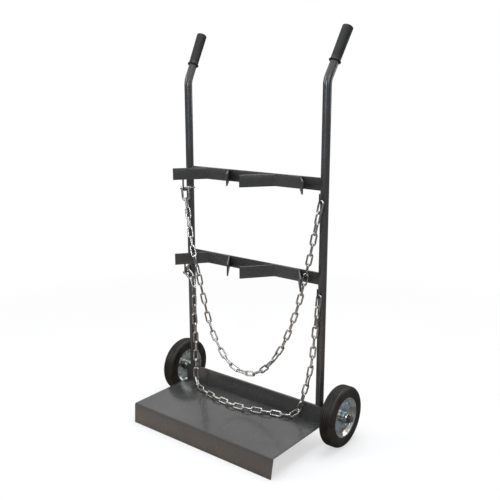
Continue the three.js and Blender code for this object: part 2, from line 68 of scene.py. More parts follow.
tube_x = 281 * mm
tube_radius = 13.45 * mm
tube_wall = 2.3 * mm
tube_foot = 66 * mm
bend_start = 1154 * mm
bend_radius = 54 * mm
bend_angle = math.radians(29.65)
splay = math.radians(8)
bare_handle = 48 * mm
grip_length = 119.5 * mm
tube_end_in_grip = 3.3 * mm

hook_x = 284.5 * mm
hook_rod = 3 * mm
hook_reach = 33 * mm
hook_bend = 7 * mm
hook_tip = 4.5 * mm
hook_root = 1 * mm
hook_drops = {"left": 45 * mm, "right": 34 * mm}

bow_wire = 4 * mm
bow_radius = 12 * mm
bow_length = 44 * mm
eye_radius = 7 * mm
pin_radius = 4 * mm

link_wire = 3 * mm
link_bend = 7.5 * mm
link_spacing = 34.4 * mm
crown_press = 0.25 * mm
crown_past_joint = link_wire - crown_press
crown_before_bend = 2.5 * mm
seat_gap = 0.3 * mm
most_slack = 12 * mm
curve_samples = 1500

bar_height = 40 * mm
bar_thickness = 5 * mm
bead_radius = 2.1 * mm

upstand_top = 132 * mm
deck_top = 69 * mm
rear_fold_y = 63.5 * mm
front_fold_y = -197.5 * mm

wheel_x = 348 * mm
axle_radius = 10 * mm
rivet_circle = 44 * mm
bush_seat_x = 8 * mm
washer_x = 32 * mm


# Modelling by hand in edit mode

def only(obj):
    """Leaves nothing but this piece selected and active."""
    bpy.ops.object.select_all(action="DESELECT")
    obj.select_set(True)
    bpy.context.view_layer.objects.active = obj


def edit(obj):
    only(obj)
    bpy.ops.object.mode_set(mode="EDIT")


def leave_edit():
    bpy.ops.object.mode_set(mode="OBJECT")
    return bpy.context.active_object


def tidy_mesh():
    """Closes the seams of the shape being edited and points its faces outwards."""
    bpy.ops.mesh.select_all(action="SELECT")
    bpy.ops.mesh.remove_doubles(threshold=1e-6)
    bpy.ops.mesh.normals_make_consistent(inside=False)


def extrude_by(offset):
    bpy.ops.mesh.extrude_region_move(TRANSFORM_OT_translate={"value": offset})


def turned(profile, steps):
    """A piece turned about X from a drawn line of (x, radius) points in millimetres."""
    points = [Vector((x * mm, 0, radius * mm)) for x, radius in profile]
    bpy.ops.object.select_all(action="DESELECT")
    bpy.ops.mesh.primitive_plane_add(size=mm)
    bpy.ops.object.mode_set(mode="EDIT")
    bpy.ops.mesh.select_all(action="SELECT")
    # The plane becomes a single vertex, which the line is drawn with
    bpy.ops.mesh.merge(type="CENTER")
    bpy.ops.transform.translate(value=points[0])
    for here, there in zip(points, points[1:]):
        extrude_by(there - here)
    bpy.ops.mesh.select_all(action="SELECT")
    bpy.ops.mesh.spin(steps=steps, angle=2 * math.pi, center=(0, 0, 0), axis=X)
    tidy_mesh()
    return leave_edit()


def bent_rod(start, along, across, radius, sides, moves, closed=False, fill="NGON"):
    """A round rod drawn by extruding a circle straight on or spinning it round a bend.

    Each move is ("straight", length) or ("bend", angle, bend radius, steps), with a
    positive bend turning from along towards across. Returns the rod, its end and heading.
    """
    turn_axis = along.cross(across)
    bpy.ops.object.select_all(action="DESELECT")
    bpy.ops.mesh.primitive_circle_add(
        vertices=sides, radius=radius, fill_type="NOTHING" if closed else fill,
        location=start, rotation=along.to_track_quat("Z", "Y").to_euler(),
    )
    bpy.ops.object.transform_apply(location=True, rotation=True, scale=True)
    bpy.ops.object.mode_set(mode="EDIT")
    bpy.ops.mesh.select_all(action="SELECT")
    place, heading = start.copy(), along.copy()
    for move in moves:
        if move[0] == "straight":
            extrude_by(heading * move[1])
            place += heading * move[1]
            continue
        _, angle, bend, steps = move
        inward = turn_axis.cross(heading) * math.copysign(1, angle)
        centre = place + inward * bend
        bpy.ops.mesh.spin(steps=steps, angle=-angle, center=centre, axis=turn_axis)
        turn = Matrix.Rotation(angle, 3, turn_axis)
        place = centre + turn @ (place - centre)
        heading = turn @ heading
    tidy_mesh()
    return leave_edit(), place, heading


def smooth(obj, angle=40):
    only(obj)
    bpy.ops.object.shade_smooth_by_angle(angle=math.radians(angle))
    return obj


def finish_modifiers(obj):
    only(obj)
    for modifier in list(obj.modifiers):
        bpy.ops.object.modifier_apply(modifier=modifier.name)


def rounded(obj, width, segments=2, angle=30):
    """Breaks the sharp edges of a piece."""
    bevel = obj.modifiers.new("broken edges", "BEVEL")
    bevel.width = width
    bevel.segments = segments
    bevel.limit_method = "ANGLE"
    bevel.angle_limit = math.radians(angle)
    bevel.use_clamp_overlap = True
    finish_modifiers(obj)
    return obj


def moved(obj, matrix):
    """Puts a piece in its place and leaves its object at the origin."""
    only(obj)
    obj.matrix_world = matrix
    bpy.ops.object.transform_apply(location=True, rotation=True, scale=True)
    return obj


def copy_of(obj):
    other = obj.copy()
    other.data = obj.data.copy()
    other.parent = None
    scene.collection.objects.link(other)
    return other


def fused(objs):
    """Makes one piece of several."""
    bpy.ops.object.select_all(action="DESELECT")
    for obj in objs:
        obj.select_set(True)
    bpy.context.view_layer.objects.active = objs[0]
    bpy.ops.object.join()
    return bpy.context.active_object


def finished(obj, name, material, body, replaced=()):
    """Names and paints a piece, puts it on its body and hides the solids it stands for."""
    obj.name = name
    obj.data.name = name
    obj.data.materials.clear()
    obj.data.materials.append(material)
    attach(obj, body)
    if replaced:
        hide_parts(*replaced)
    return obj


# Materials

enamel_gloss = 0.4


class Wiring:
    """Shader nodes, added and linked by hand."""

    def __init__(self, tree):
        self.tree = tree

    def add(self, kind, **settings):
        node = self.tree.nodes.new(kind)
        for key, value in settings.items():
            setattr(node, key, value)
        return node

    def link(self, output, target):
        self.tree.links.new(output, target)

    def math(self, operation, *values, clamp=False):
        """A sum or the like of sockets and plain numbers."""
        node = self.add("ShaderNodeMath", operation=operation, use_clamp=clamp)
        for value, target in zip(values, node.inputs):
            if isinstance(value, (int, float)):
                target.default_value = value
            else:
                self.link(value, target)
        return node.outputs["Value"]

    def span(self, factor, low, high, start=0.3, end=0.7):
        """Goes from low to high, and no further, as the factor goes from start to end."""
        node = self.add("ShaderNodeMapRange")
        node.inputs["From Min"].default_value = start
        node.inputs["From Max"].default_value = end
        node.inputs["To Min"].default_value = low
        node.inputs["To Max"].default_value = high
        self.link(factor, node.inputs["Value"])
        return node.outputs["Result"]

    def ray_kinds(self):
        """Where the background is seen at all, seen straight, and seen in metal."""
        path = self.add("ShaderNodeLightPath").outputs
        straight, mirrored = path["Is Camera Ray"], path["Is Glossy Ray"]
        through = self.math("ADD", mirrored, path["Is Transmission Ray"])
        return self.math("ADD", straight, through, clamp=True), straight, mirrored


class Paintbox(Wiring):
    """The nodes of one material."""

    def __init__(self, name, slot):
        self.material = bpy.data.materials.new(name)
        self.material.use_nodes = True
        super().__init__(self.material.node_tree)
        self.shader = self.tree.nodes["Principled BSDF"]
        self.place = self.add("ShaderNodeTexCoord").outputs["Object"]

    def set(self, **values):
        for name, value in values.items():
            self.shader.inputs[name.replace("_", " ")].default_value = value

    def grain(self, scale, detail=3, distortion=0):
        """Cloudy noise around 0.5, finer with a larger scale."""
        noise = self.add("ShaderNodeTexNoise")
        noise.inputs["Scale"].default_value = scale
        noise.inputs["Detail"].default_value = detail
        noise.inputs["Roughness"].default_value = 0.55
        noise.inputs["Distortion"].default_value = distortion
        self.link(self.place, noise.inputs["Vector"])
        return noise.outputs["Fac"]

    def ramp(self, factor, stops):
        """Colours or plain values blended between the stops of a factor."""
        node = self.add("ShaderNodeValToRGB")
        for index, (place, color) in enumerate(stops):
            if index < 2:
                stop = node.color_ramp.elements[index]
                stop.position = place
            else:
                stop = node.color_ramp.elements.new(place)
            stop.color = color if len(color) == 4 else (*color, 1)
        self.link(factor, node.inputs["Fac"])
        return node.outputs["Color"]

    def mixed(self, factor, under, over):
        """The plain colour over, laid on the color output under."""
        node = self.add("ShaderNodeMix", data_type="RGBA")
        self.link(factor, node.inputs[0])
        self.link(under, node.inputs[6])
        node.inputs[7].default_value = (*over, 1)
        return node.outputs[2]

    def from_axle(self):
        """The distance from the axle's centre line."""
        shifted = self.add("ShaderNodeVectorMath", operation="SUBTRACT")
        shifted.inputs[1].default_value = axle_place
        self.link(self.place, shifted.inputs[0])
        flat = self.add("ShaderNodeVectorMath", operation="MULTIPLY")
        flat.inputs[1].default_value = (0, 1, 1)
        self.link(shifted.outputs["Vector"], flat.inputs[0])
        length = self.add("ShaderNodeVectorMath", operation="LENGTH")
        self.link(flat.outputs["Vector"], length.inputs[0])
        return length.outputs["Value"]

    def bump(self, height, depth, strength, under=None):
        node = self.add("ShaderNodeBump")
        node.inputs["Strength"].default_value = strength
        node.inputs["Distance"].default_value = depth
        self.link(height, node.inputs["Height"])
        if under is not None:
            self.link(under, node.inputs["Normal"])
        return node.outputs["Normal"]

    def into(self, name, output):
        self.link(output, self.shader.inputs[name])


def start_enamel(name):
    """Dark grey stoved enamel, with a little orange peel and shop dust.

    Returns its nodes, its dusty colour and its roughness, neither of them linked yet.
    """
    paint = Paintbox(name, "grey_paint")
    coat = paint.ramp(paint.grain(9, detail=4), [
        (0.3, (0.044, 0.0437, 0.0435)), (0.7, (0.053, 0.0525, 0.052)),
    ])
    dust = paint.span(paint.grain(31, detail=5, distortion=0.8), 0, 0.4, 0.5, 0.75)
    dusty = paint.mixed(dust, coat, (0.075, 0.062, 0.05))
    rough = paint.span(paint.grain(14, detail=3), 0.2, 0.32)
    paint.into("Normal", paint.bump(paint.grain(380, detail=1), 0.05 * mm, 0.2))
    paint.set(Specular_IOR_Level=0.5, Coat_Weight=enamel_gloss, Coat_Roughness=0.07)
    return paint, dusty, rough


def make_grey_enamel():
    paint, dusty, rough = start_enamel("grey_enamel")
    paint.into("Base Color", dusty)
    paint.into("Roughness", rough)
    return paint.material


def make_sheet_enamel():
    """The same enamel on the folded sheet, browned at its cut edges, dull along its folds, and
    darkened in the rear fold's crease as painted shade.
    """
    paint, dusty, rough = start_enamel("sheet_enamel")
    place = paint.add("ShaderNodeSeparateXYZ")
    paint.link(paint.place, place.inputs["Vector"])
    across, along, height = (place.outputs[axis] for axis in "XYZ")

    standing_edge = paint.span(height, 1, 0, 2 * mm, 6 * mm)
    sheet_end = paint.span(paint.math("ABSOLUTE", across), 0, 1,
                           sheet_end_x - 2.4 * mm, sheet_end_x - 1 * mm)
    edge = paint.math("MAXIMUM", standing_edge, sheet_end)
    worn = paint.math("MULTIPLY", edge, paint.span(paint.grain(85, detail=5), 0.1, 0.9, 0.4, 0.6))
    browned = paint.mixed(worn, dusty, (0.045, 0.026, 0.016))

    rear_fold = paint.math(
        "MULTIPLY", paint.span(along, 0, 1, rear_fold_y - 2 * mm, rear_fold_y),
        paint.span(height, 1, 0, deck_top + 2.5 * mm, deck_top + 5 * mm),
    )
    front_fold = paint.math(
        "MULTIPLY", paint.span(along, 1, 0, front_fold_y, front_fold_y + 2.5 * mm),
        paint.span(height, 0, 1, deck_top - 6 * mm, deck_top - 4 * mm),
    )
    folds = paint.math("MAXIMUM", rear_fold, front_fold)
    # Painted shade: the base colour is darkened along the rear fold's crease.
    painted_crease_shade = paint.math("MULTIPLY", rear_fold, 0.8)
    gloss = paint.math("SUBTRACT", enamel_gloss, paint.math("MULTIPLY", folds, enamel_gloss))
    paint.into("Base Color", paint.mixed(painted_crease_shade, browned, (0.02, 0.018, 0.016)))
    paint.into("Roughness", paint.math("MAXIMUM", rough, paint.math("MULTIPLY", folds, 0.6)))
    paint.into("Coat Weight", gloss)
    return paint.material


def make_wheel_zinc():
    """Bright zinc plate on pressed steel, with blue and straw clouds."""
    zinc = Paintbox("wheel_zinc", "bright_zinc")
    cloud = zinc.grain(24, detail=3, distortion=0.4)
    plate = zinc.ramp(cloud, [
        (0.3, (0.32, 0.325, 0.3)), (0.45, (0.61, 0.62, 0.575)), (0.52, (0.79, 0.82, 0.775)),
        (0.57, (0.42, 0.64, 0.82)), (0.63, (0.89, 0.91, 0.86)),
    ])
    decimetres = zinc.math("MULTIPLY", zinc.from_axle(), 10)
    # Darker in two rings: by the hub's collar and at the foot of the dish.
    corner = zinc.ramp(decimetres, [
        (0.15, (0, 0, 0)), (0.2, (0.75, 0.75, 0.75)), (0.32, (0.1, 0.1, 0.1)),
        (0.47, (0.1, 0.1, 0.1)), (0.505, (0.5, 0.5, 0.5)), (0.54, (0, 0, 0)),
    ])
    darker_rings = zinc.math("MULTIPLY", corner, zinc.span(zinc.grain(55, detail=4), 0.4, 1.3))
    zinc.into("Base Color", zinc.mixed(darker_rings, plate, (0.06, 0.055, 0.05)))
    zinc.into("Roughness", zinc.span(zinc.grain(60, detail=4), 0.1, 0.26))
    dents = zinc.bump(zinc.grain(36, detail=2), 2.6 * mm, 0.7)
    zinc.into("Normal", zinc.bump(zinc.grain(160, detail=3), 0.25 * mm, 0.4, under=dents))
    zinc.set(Metallic=1)
    return zinc.material


def make_wire_zinc():
    """Duller zinc plate over drawn wire."""
    zinc = Paintbox("wire_zinc", "chain_zinc")
    cloud = zinc.grain(90, detail=4)
    zinc.into("Base Color", zinc.ramp(cloud, [
        (0.25, (0.2, 0.195, 0.185)), (0.65, (0.6, 0.585, 0.56)),
    ]))
    zinc.into("Roughness", zinc.span(zinc.grain(180, detail=4), 0.13, 0.3))
    zinc.into("Normal", zinc.bump(zinc.grain(700, detail=2), 0.06 * mm, 0.5))
    zinc.set(Metallic=1)
    return zinc.material


def make_tyre_rubber():
    """Solid black rubber, a little brown and dusty."""
    rubber = Paintbox("tyre_rubber", "black_rubber")
    cloud = rubber.grain(22, detail=5)
    rubber.into("Base Color", rubber.ramp(cloud, [
        (0.35, (0.008, 0.0073, 0.0062)), (0.7, (0.027, 0.0222, 0.0165)),
    ]))
    rubber.into("Roughness", rubber.span(rubber.grain(70, detail=4), 0.38, 0.58))
    rubber.into("Normal", rubber.bump(rubber.grain(900, detail=2), 0.08 * mm, 0.6))
    rubber.set(Specular_IOR_Level=0.29)
    return rubber.material


def make_grip_vinyl():
    """Soft black vinyl with a fine pebble grain."""
    vinyl = Paintbox("grip_vinyl", "black_vinyl")
    cloud = vinyl.grain(30, detail=3)
    vinyl.into("Base Color", vinyl.ramp(cloud, [
        (0.3, (0.008, 0.008, 0.0082)), (0.7, (0.014, 0.014, 0.0143)),
    ]))
    pebble = vinyl.add("ShaderNodeTexVoronoi")
    pebble.inputs["Scale"].default_value = 900
    vinyl.link(vinyl.place, pebble.inputs["Vector"])
    vinyl.into("Normal", vinyl.bump(pebble.outputs["Distance"], 0.25 * mm, 0.7))
    vinyl.into("Roughness", vinyl.span(vinyl.grain(120, detail=3), 0.46, 0.6))
    vinyl.set(Specular_IOR_Level=0.32)
    return vinyl.material


def make_bush_nylon():
    nylon = Paintbox("bush_nylon", "black_nylon")
    nylon.into("Base Color", nylon.ramp(nylon.grain(200), [
        (0.3, (0.012, 0.012, 0.013)), (0.7, (0.02, 0.02, 0.021)),
    ]))
    nylon.into("Roughness", nylon.span(nylon.grain(300), 0.35, 0.5))
    return nylon.material


grey_enamel = make_grey_enamel()
sheet_enamel = make_sheet_enamel()
wheel_zinc = make_wheel_zinc()
wire_zinc = make_wire_zinc()
tyre_rubber = make_tyre_rubber()
grip_vinyl = make_grip_vinyl()
bush_nylon = make_bush_nylon()


# Uprights and grips

def add_upright(side_name, side):
    lean = Vector((side * math.sin(splay), math.cos(splay), 0))
    inside_grip = grip_length - tube_end_in_grip
    rod, seat, heading = bent_rod(
        Vector((side * tube_x, tube_y, tube_foot)), Z, lean, tube_radius, 40,
        [("straight", bend_start - tube_foot), ("bend", bend_angle, bend_radius, 14),
         ("straight", bare_handle + inside_grip)],
        fill="NOTHING",
    )
    wall = rod.modifiers.new("tube wall", "SOLIDIFY")
    wall.thickness = tube_wall
    wall.offset = -1
    finish_modifiers(rod)
    rounded(rod, 0.4 * mm, angle=60)
    finished(smooth(rod), f"{side_name}_tube", grey_enamel, "frame", [f"{side_name}_upright"])
    return seat - heading * inside_grip, heading


def add_grip(side_name, seat, heading):
    """A moulded grip: a thin flange, a body that widens a little and a nearly flat end."""
    bore = 13.75
    foot, foot_radius = 5, 15.8
    shoulder, shoulder_radius, corner = 114.5, 17.1, 2.4
    tip, end_wall, doming = 117.9, 1.4, 1
    profile = [(0, bore), (0, 18.2), (0.5, 18.9), (1.4, 19.2), (2.4, 18.9), (3, 18.2),
               (3.6, 16.4), (foot, foot_radius)]
    for step in range(1, 9):
        share = step / 8
        profile.append((foot + (shoulder - foot) * share,
                        foot_radius + (shoulder_radius - foot_radius) * share))
    for step in range(1, 8):
        angle = math.pi / 2 * step / 8
        profile.append((shoulder + corner * math.sin(angle),
                        shoulder_radius - corner * (1 - math.cos(angle))))
    for radius in (12, 11, 6, 0):
        profile.append((tip - doming * (radius / (shoulder_radius - corner)) ** 2, radius))
    profile += [(tip - end_wall, 0), (tip - end_wall, bore), (0, bore)]
    grip = turned(profile, 48)
    turn = heading.to_track_quat("X", "Z").to_matrix().to_4x4()
    moved(grip, Matrix.Translation(seat) @ turn)
    finished(smooth(grip, 50), f"{side_name}_handgrip", grip_vinyl, "frame",
             [f"{side_name}_grip"])


for side_name, side in sides.items():
    grip_seat, grip_heading = add_upright(side_name, side)
    add_grip(side_name, grip_seat, grip_heading)


# Flat bar and sheet

def broken_edge_copy(node, width):
    """The frame's own solid with its sharp edges broken."""
    obj = copy_of(nodes[node])
    edit(obj)
    bpy.ops.mesh.select_all(action="SELECT")
    bpy.ops.mesh.remove_doubles(threshold=5e-6)
    bpy.ops.mesh.dissolve_limited(angle_limit=math.radians(1))
    leave_edit()
    rounded(obj, width, segments=3, angle=40)
    return smooth(obj, 50)


finished(broken_edge_copy("base_plate", 0.7 * mm), "deck_sheet", sheet_enamel, "frame",
         ["base_plate"])
for level in bar_bottoms:
    for bar in ("crossbar", "left_saddle", "right_saddle"):
        node = f"{level}_{bar}"
        finished(broken_edge_copy(node, 0.6 * mm), f"{node}_bar", grey_enamel, "frame", [node])


# Hooks

def add_hook(level, side_name, side):
    drop = hook_drops[side_name]
    start = Vector((side * hook_x, tube_y - tube_radius + hook_root,
                    bar_bottoms[level] - drop))
    rod, _, _ = bent_rod(
        start, -Y, Z, hook_rod, 20,
        [("straight", hook_reach - hook_bend - tube_radius + hook_root),
         ("bend", math.pi / 2, hook_bend, 8),
         ("straight", drop - hook_bend - hook_tip)],
    )
    rounded(rod, 0.5 * mm, angle=60)
    finished(smooth(rod), f"{level}_{side_name}_hook_rod", grey_enamel, "frame",
             [f"{level}_{side_name}_hook"])


for level in bar_bottoms:
    for side_name, side in sides.items():
        add_hook(level, side_name, side)


# Wheels, turned about X and then moved to the axle

def wheel_place(side):
    return Matrix.Translation(Vector((side * wheel_x, axle_place.y, axle_place.z)))


def tyre_profile():
    half_width, outer, shoulder = 23, 101.5, 11.5
    half = [(6.4, 52.3), (18.6, 67.3), (22.2, 68.4), (23, 70), (23, 76.5), (22.4, 77.1),
            (22.4, 78.6), (23, 79.2)]
    for step in range(0, 9):
        angle = math.pi / 2 * step / 8
        half.append((half_width - shoulder * (1 - math.cos(angle)),
                     outer - shoulder * (1 - math.sin(angle))))
    groove_wall = [(1.3, 0.1), (0.9, 0.5), (0.6, 2.8)]
    for groove in (10, 3.4):
        half += [(groove + x, outer - depth) for x, depth in groove_wall]
        half += [(groove - x, outer - depth) for x, depth in reversed(groove_wall)]
    mirrored = [(-x, radius) for x, radius in reversed(half)]
    return half + mirrored + [half[0]]


def disc_profile():
    collar = 17.8
    front = [(9, collar), (9, 44), (9.3, 49), (10.4, 51.6), (19.6, 62), (21.2, 64.2), (21.5, 65.4),
             (21.2, 66.5), (20.4, 67)]
    rear = [(19.4, 66.4), (19.2, 65), (18, 63.6), (8.8, 53), (7.4, 50.6), (7, 47), (7, collar)]
    return front + rear + [front[0]]


def hub_profile():
    """A tube with round ends."""
    outer, inner, half = 17.5, 15, 30
    round_end = (outer - inner) / 2
    profile = []
    for step in range(0, 7):
        angle = math.pi * step / 6
        profile.append((half - round_end + round_end * math.sin(angle),
                        (outer + inner) / 2 + round_end * math.cos(angle)))
    mirrored = [(-x, radius) for x, radius in reversed(profile)]
    return profile + mirrored + [profile[0]]


def bush_profile():
    bore, outer, length = 10.35, 14.7, 22
    start = (0, bore + 0.05)
    return [start, (0.4, bore), (length - 0.4, bore), (length, 10.9), (length, 14.2),
            (length - 0.5, outer), (0, outer), start]


def rivet_profile():
    half = [(6.7, 5.5), (6.7, 3), (9.3, 3), (9.3, 5.4), (9.9, 5.2), (10.8, 4.2), (11.2, 2.4),
            (11.3, 0)]
    mirrored = [(-x, radius) for x, radius in reversed(half)]
    return mirrored + half


def washer_profile():
    return [(-1.5, 10.4), (-1.5, 15.6), (-1.1, 16), (1.1, 16), (1.5, 15.6), (1.5, 10.4),
            (-1.5, 10.4)]


def add_wheel(side_name, side, first_rivet):
    body = f"{side_name}_wheel"
    place = wheel_place(side)
    tyre = moved(turned(tyre_profile(), 96), place)
    finished(smooth(tyre, 35), f"{side_name}_tyre_ring", tyre_rubber, body,
             [f"{side_name}_tyre"])
    hub = moved(turned(hub_profile(), 48), place)
    finished(smooth(hub), f"{side_name}_hub", wheel_zinc, body, [f"{side_name}_hub_tube"])
    for face_name, facing in (("outer", side), ("inner", -side)):
        turn = Matrix.Identity(4) if facing > 0 else Matrix.Rotation(math.pi, 4, "Z")
        disc = moved(turned(disc_profile(), 96), place @ turn)
        finished(smooth(disc, 35), f"{side_name}_{face_name}_pressing", wheel_zinc, body,
                 [f"{side_name}_{face_name}_disc"])
        shift = Matrix.Translation(X * bush_seat_x)
        bush = moved(turned(bush_profile(), 32), place @ turn @ shift)
        finished(smooth(bush), f"{side_name}_{face_name}_bearing", bush_nylon, body,
                 [f"{side_name}_{face_name}_bush"])
    for index in range(3):
        spoke = Matrix.Rotation(first_rivet + 2 * math.pi * index / 3, 4, "X")
        out = Matrix.Translation(Y * rivet_circle)
        rivet = moved(turned(rivet_profile(), 20), place @ spoke @ out)
        finished(smooth(rivet), f"{side_name}_rivet_stud_{index + 1}", wheel_zinc, body,
                 [f"{side_name}_rivet_{index + 1}"])
    for face_name, facing in (("outer", side), ("inner", -side)):
        shift = Matrix.Translation(X * facing * washer_x)
        washer = moved(turned(washer_profile(), 40), place @ shift)
        finished(smooth(washer), f"{side_name}_{face_name}_thrust_washer", grey_enamel,
                 "frame", [f"{side_name}_{face_name}_washer"])


add_wheel("left", -1, math.radians(90))
add_wheel("right", 1, math.radians(56.25))


def add_axle():
    end, radius, chamfer = 390.5, axle_radius / mm, 1
    half = [(end - chamfer, radius), (end, radius - chamfer), (end, 0)]
    axle = turned([(-x, height) for x, height in reversed(half)] + half, 40)
    moved(axle, Matrix.Translation(Vector((0, axle_place.y, axle_place.z))))
    finished(smooth(axle), "axle_rod", grey_enamel, "frame", ["axle"])


def add_split_pin(side_name):
    """Two bent wires: an eye above the axle and two legs that spread below it."""
    node = f"{side_name}_split_pin"
    wire = 1.5 * mm
    loop_radius = 3.4 * mm
    top = Vector((middle(node).x, axle_place.y, axle_place.z + axle_radius + 2 * loop_radius))
    round_eye = ("bend", math.radians(165), loop_radius, 8)
    into_hole = ("bend", math.radians(-75), 2 * mm, 3)
    through_axle = ("straight", 2 * axle_radius + 1 * mm)
    spread = ("bend", math.radians(-40), 4 * mm, 3)
    tail = ("straight", 6 * mm)
    legs = []
    for way in (-1, 1):
        rod, _, _ = bent_rod(top, Y * way, -Z, wire, 10,
                             [round_eye, into_hole, through_axle, spread, tail])
        legs.append(rod)
    finished(smooth(fused(legs)), f"{side_name}_cotter", wheel_zinc, "frame", [node])


add_axle()
for side_name in sides:
    add_split_pin(side_name)


# Shackles

def shackle_place(level, reach, pin_direction, hang, slide):
    """The shackle's own place, with X along its pin and Y up its bow.

    It hangs by its pin from the hook's rod, at this reach from the tubes and slid along the pin.
    """
    hang = Vector(hang).normalized()
    pin = Vector(pin_direction)
    pin = (pin - pin.dot(hang) * hang).normalized()
    low = bar_bottoms[level] - hook_drops["left"]
    place = Vector((-hook_x, tube_y - reach, low))
    place += pin * slide - hang * (pin_radius + hook_rod + seat_gap)
    turn = Matrix((pin, -hang, pin.cross(-hang))).transposed().to_4x4()
    return Matrix.Translation(place) @ turn


def eye_profile(bore, radius, half_width):
    """A ring about X, in millimetres, with its outer edges softened."""
    soft, slight = 0.8, 0.24
    corner = [(half_width - soft, radius), (half_width - slight, radius - slight),
              (half_width, radius - soft), (half_width, bore)]
    mirrored = [(-x, height) for x, height in reversed(corner)]
    return mirrored + corner + [mirrored[0]]


def add_shackle(level, place):
    leg = bow_length - bow_radius
    bow, _, _ = bent_rod(
        Vector((-bow_radius, 0, 0)), -Y, X, bow_wire, 20,
        [("straight", leg), ("bend", math.pi, bow_radius, 16), ("straight", leg)],
    )
    # The legs end in the bores of the eyes, where the pin hides them
    eyes = []
    for side in (-1, 1):
        eye = turned(eye_profile(4.3, eye_radius / mm, 4.3), 32)
        eyes.append(moved(eye, Matrix.Translation(X * side * bow_radius)))
    bow = moved(fused([bow, *eyes]), place)
    finished(smooth(bow), f"{level}_bow", wire_zinc, "frame", [f"{level}_shackle_bow"])

    shaft = [(-18.5, 0), (-18.5, 3.2), (-17.9, 3.8), (-17.2, 4), (16.6, 4)]
    collar = [(16.6, 5.6), (17, 6), (19.2, 6), (19.6, 5.6)]
    neck = [(19.6, 3.2), (26, 3), (26, 0)]
    shank = turned(shaft + collar + neck, 28)
    ear = turned(eye_profile(2.6, 6.5, 2.5), 32)
    ear = moved(ear, Matrix.Translation(X * 30.5 * mm) @ Matrix.Rotation(math.pi / 2, 4, "Z"))
    pin = moved(fused([shank, ear]), place)
    finished(smooth(pin), f"{level}_pin", wire_zinc, "frame", [f"{level}_shackle_pin"])


def crown_in_bow(place):
    """Where the first link begins, so that its crown hangs in the bow."""
    depth = bow_length - bow_wire - link_wire - 2 * seat_gap
    return place @ Vector((0, -depth, 0))


pin_turn = math.radians(23)
shackles = {
    "upper": shackle_place(
        "upper", reach=hook_reach - hook_bend - 0.5 * mm,
        pin_direction=(math.cos(pin_turn), math.sin(pin_turn), 0), hang=(0.11, -0.02, -1),
        slide=2.4 * mm,
    ),
    "lower": shackle_place(
        "lower", reach=tube_radius + eye_radius + 4 * seat_gap,
        pin_direction=(0.59, 0, 0.8), hang=(0.8, -0.08, -0.59), slide=1 * mm,
    ),
}
for level, place in shackles.items():
    add_shackle(level, place)


# Chains. Links one spacing apart along a line, each a quarter turn from the one before

def curve_point(around, share):
    """A point of a centripetal Catmull-Rom curve between the middle two of four points."""
    before, start, end, after = around
    first, second, third = (math.sqrt((b - a).length) for a, b in zip(around, around[1:]))
    leave = (start - before) / first - (end - before) / (first + second) + (end - start) / second
    arrive = (end - start) / second - (after - start) / (second + third) + (after - end) / third
    leave, arrive = leave * second, arrive * second
    square = 3 * (end - start) - 2 * leave - arrive
    cube = 2 * (start - end) + leave + arrive
    return start + share * (leave + share * (square + share * cube))


def curve_through(points):
    """The curve through all the points, carried on straight past both ends."""
    line = [2 * points[0] - points[1], *points, 2 * points[-1] - points[-2]]
    spans = len(points) - 1
    curve = []
    for sample in range(curve_samples + 1):
        place = spans * sample / curve_samples
        span = min(int(place), spans - 1)
        curve.append(curve_point(line[span:span + 4], place - span))
    return curve


def paced_points(route, slack):
    """Points one link spacing apart along the route, whose middle gives way by the slack."""
    last = len(route) - 1
    loose = [point + slack * math.sin(math.pi * index / last) ** 2
             for index, point in enumerate(route)]
    curve = curve_through(loose)
    points = [curve[0]]
    for before, here in zip(curve, curve[1:]):
        far = (here - points[-1]).length
        if far >= link_spacing:
            near = (before - points[-1]).length
            points.append(before.lerp(here, (link_spacing - near) / (far - near)))
    return points


def chain_joints(route, way, count):
    """Where neighbouring links touch, with just the slack that this many links need."""
    tight, loose = -most_slack, most_slack
    for _ in range(14):
        slack = (tight + loose) / 2
        if len(paced_points(route, way * slack)) > count:
            loose = slack
        else:
            tight = slack
    return paced_points(route, way * loose)


def twist_at(share, stops):
    """The twist in degrees at this share of the chain, read between the stops."""
    for (start, low), (end, high) in zip(stops, stops[1:]):
        if share <= end:
            return low + (high - low) * (share - start) / (end - start)


def make_link():
    """One link lying flat, with the little collar of its weld on one straight side."""
    straight = link_spacing + 2 * crown_past_joint - 2 * link_bend
    turn = ("bend", math.pi, link_bend, 10)
    ring, _, _ = bent_rod(
        Vector((-straight / 2, -link_bend, 0)), X, Y, link_wire, 14,
        [("straight", straight), turn, ("straight", straight), turn], closed=True,
    )
    weld = turned([(-1.9, 0), (-1.9, 2.3), (-1.2, 2.7), (-0.4, 2.95), (0.5, 2.9), (1.2, 2.65),
                   (1.8, 2.3), (1.8, 0)], 14)
    weld = moved(weld, Matrix.Translation(Y * link_bend))
    return fused([ring, weld])


def add_chain(level, count, route, way, twists):
    """A chain from its shackle, along the route's points in millimetres, to the right hook."""
    start = crown_in_bow(shackles[level])
    low = bar_bottoms[level] - hook_drops["right"]
    end = Vector((hook_x, tube_y - (hook_reach - hook_bend - crown_before_bend),
                  low + hook_rod + 2 * seat_gap + crown_press))
    inner = [Vector((x * mm, y * mm + tube_y, z * mm)) for x, y, z in route["points"]]
    joints = chain_joints([start + Vector(route["start"]) * mm, *inner, end], way, count)
    model = make_link()
    links = []
    for index, (here, there) in enumerate(zip(joints, joints[1:])):
        along = (there - here).normalized()
        roll = math.radians(90 * index + twist_at(index / (count - 1), twists))
        flat = (-Y - along * along.dot(-Y)).normalized()
        flat.rotate(Quaternion(along, roll))
        across = flat.cross(along)
        turn = Matrix((along, across, flat)).transposed().to_4x4()
        links.append(moved(copy_of(model), Matrix.Translation((here + there) / 2) @ turn))
    only(model)
    bpy.ops.object.delete()
    finished(smooth(fused(links)), f"{level}_links", wire_zinc, "frame", [f"{level}_chain"])


